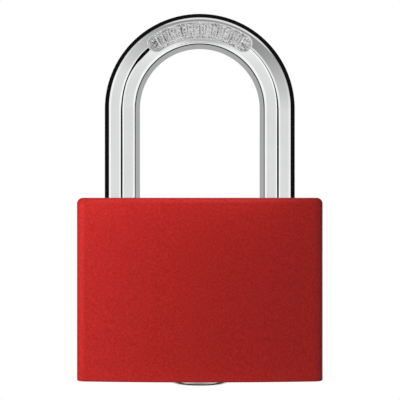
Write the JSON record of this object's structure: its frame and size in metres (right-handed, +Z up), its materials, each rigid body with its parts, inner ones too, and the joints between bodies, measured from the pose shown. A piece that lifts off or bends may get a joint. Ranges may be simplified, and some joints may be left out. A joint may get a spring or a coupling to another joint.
{
  "type": "keyed safety padlock",
  "caption": "Solid anodised block padlock with an octagonal shackle held by two balls and a key cylinder in its base.",
  "frame": {"origin": "middle of the bounding box's underside, which is the centre of the plug's face", "axes": "+Z up along the plug's axis to the crown of the shackle; +X towards the heel (captive) leg of the shackle; +Y through the block from its front face to its back face"},
  "size_m": [0.045, 0.02, 0.0692],
  "materials": {
    "body_red": "satin red anodised",
    "shackle_chrome": "polished chrome plate",
    "plug_nickel": "nickel plated",
    "cylinder_brass": "machined",
    "cam_steel": "machined",
    "ball_steel": "polished ball",
    "screw_steel": "zinc plated",
    "spring_steel": "drawn wire",
    "clip_steel": "phosphated",
    "pin_brass": "turned"
  },
  "bodies": {
    "case": {"lock_body": "body_red", "cylinder_shell": "cylinder_brass", "pin_chamber_cover": "cylinder_brass", "cylinder_retaining_screw": "screw_steel", "shackle_spring": "spring_steel", "pin_spring_1": "spring_steel", "pin_spring_2": "spring_steel", "pin_spring_3": "spring_steel", "pin_spring_4": "spring_steel", "pin_spring_5": "spring_steel"},
    "plug": {"cylinder_plug": "plug_nickel", "plug_retaining_clip": "clip_steel"},
    "cam": {"actuator_cam": "cam_steel"},
    "toe_ball": {"toe_locking_ball": "ball_steel"},
    "heel_ball": {"heel_locking_ball": "ball_steel"},
    "shackle": {"shackle": "shackle_chrome"},
    "bottom_pin_1": {"bottom_pin_1": "pin_brass"},
    "driver_pin_1": {"driver_pin_1": "pin_brass"},
    "bottom_pin_2": {"bottom_pin_2": "pin_brass"},
    "driver_pin_2": {"driver_pin_2": "pin_brass"},
    "bottom_pin_3": {"bottom_pin_3": "pin_brass"},
    "driver_pin_3": {"driver_pin_3": "pin_brass"},
    "bottom_pin_4": {"bottom_pin_4": "pin_brass"},
    "driver_pin_4": {"driver_pin_4": "pin_brass"},
    "bottom_pin_5": {"bottom_pin_5": "pin_brass"},
    "driver_pin_5": {"driver_pin_5": "pin_brass"}
  },
  "joints": [
    {"name": "plug_turn", "type": "hinge", "parent": "case", "child": "plug", "pos_m": [0, 0, 0], "axis": [0, 0, 1], "range_deg": [0, 90]},
    {"name": "cam_turn", "type": "hinge", "parent": "case", "child": "cam", "pos_m": [0, 0, 0.02353], "axis": [0, 0, 1], "range_deg": [0, 90]},
    {"name": "toe_ball_slide", "type": "slide", "parent": "case", "child": "toe_ball", "axis": [1, 0, 0], "range_m": [0, 0.003]},
    {"name": "heel_ball_slide", "type": "slide", "parent": "case", "child": "heel_ball", "axis": [-1, 0, 0], "range_m": [0, 0.0009]},
    {"name": "shackle_lift", "type": "slide", "parent": "case", "child": "shackle", "axis": [0, 0, 1], "range_m": [0, 0.01088], "deforming": ["shackle_spring"]},
    {"name": "bottom_pin_1_slide", "type": "slide", "parent": "plug", "child": "bottom_pin_1", "axis": [-1, 0, 0], "range_m": [-0.0024, 0]},
    {"name": "driver_pin_1_slide", "type": "slide", "parent": "case", "child": "driver_pin_1", "axis": [-1, 0, 0], "range_m": [-0.0024, 0], "deforming": ["pin_spring_1"]},
    {"name": "bottom_pin_2_slide", "type": "slide", "parent": "plug", "child": "bottom_pin_2", "axis": [-1, 0, 0], "range_m": [-0.0012, 0]},
    {"name": "driver_pin_2_slide", "type": "slide", "parent": "case", "child": "driver_pin_2", "axis": [-1, 0, 0], "range_m": [-0.0012, 0], "deforming": ["pin_spring_2"]},
    {"name": "bottom_pin_3_slide", "type": "slide", "parent": "plug", "child": "bottom_pin_3", "axis": [-1, 0, 0], "range_m": [-0.002, 0]},
    {"name": "driver_pin_3_slide", "type": "slide", "parent": "case", "child": "driver_pin_3", "axis": [-1, 0, 0], "range_m": [-0.002, 0], "deforming": ["pin_spring_3"]},
    {"name": "bottom_pin_4_slide", "type": "slide", "parent": "plug", "child": "bottom_pin_4", "axis": [-1, 0, 0], "range_m": [-0.0008, 0]},
    {"name": "driver_pin_4_slide", "type": "slide", "parent": "case", "child": "driver_pin_4", "axis": [-1, 0, 0], "range_m": [-0.0008, 0], "deforming": ["pin_spring_4"]},
    {"name": "bottom_pin_5_slide", "type": "slide", "parent": "plug", "child": "bottom_pin_5", "axis": [-1, 0, 0], "range_m": [-0.0016, 0]},
    {"name": "driver_pin_5_slide", "type": "slide", "parent": "case", "child": "driver_pin_5", "axis": [-1, 0, 0], "range_m": [-0.0016, 0], "deforming": ["pin_spring_5"]}
  ],
  "couplings": [
    {"joint": "cam_turn", "follows": "plug_turn", "ratio": 1},
    {"joint": "toe_ball_slide", "follows": "plug_turn", "m_per_rad": 0.0019099},
    {"joint": "heel_ball_slide", "follows": "plug_turn", "m_per_rad": 0.00057295},
    {"joint": "shackle_lift", "follows": "plug_turn", "m_per_rad": 0.0069268},
    {"joint": "driver_pin_1_slide", "follows": "bottom_pin_1_slide", "ratio": 1},
    {"joint": "driver_pin_2_slide", "follows": "bottom_pin_2_slide", "ratio": 1},
    {"joint": "driver_pin_3_slide", "follows": "bottom_pin_3_slide", "ratio": 1},
    {"joint": "driver_pin_4_slide", "follows": "bottom_pin_4_slide", "ratio": 1},
    {"joint": "driver_pin_5_slide", "follows": "bottom_pin_5_slide", "ratio": 1}
  ]
}
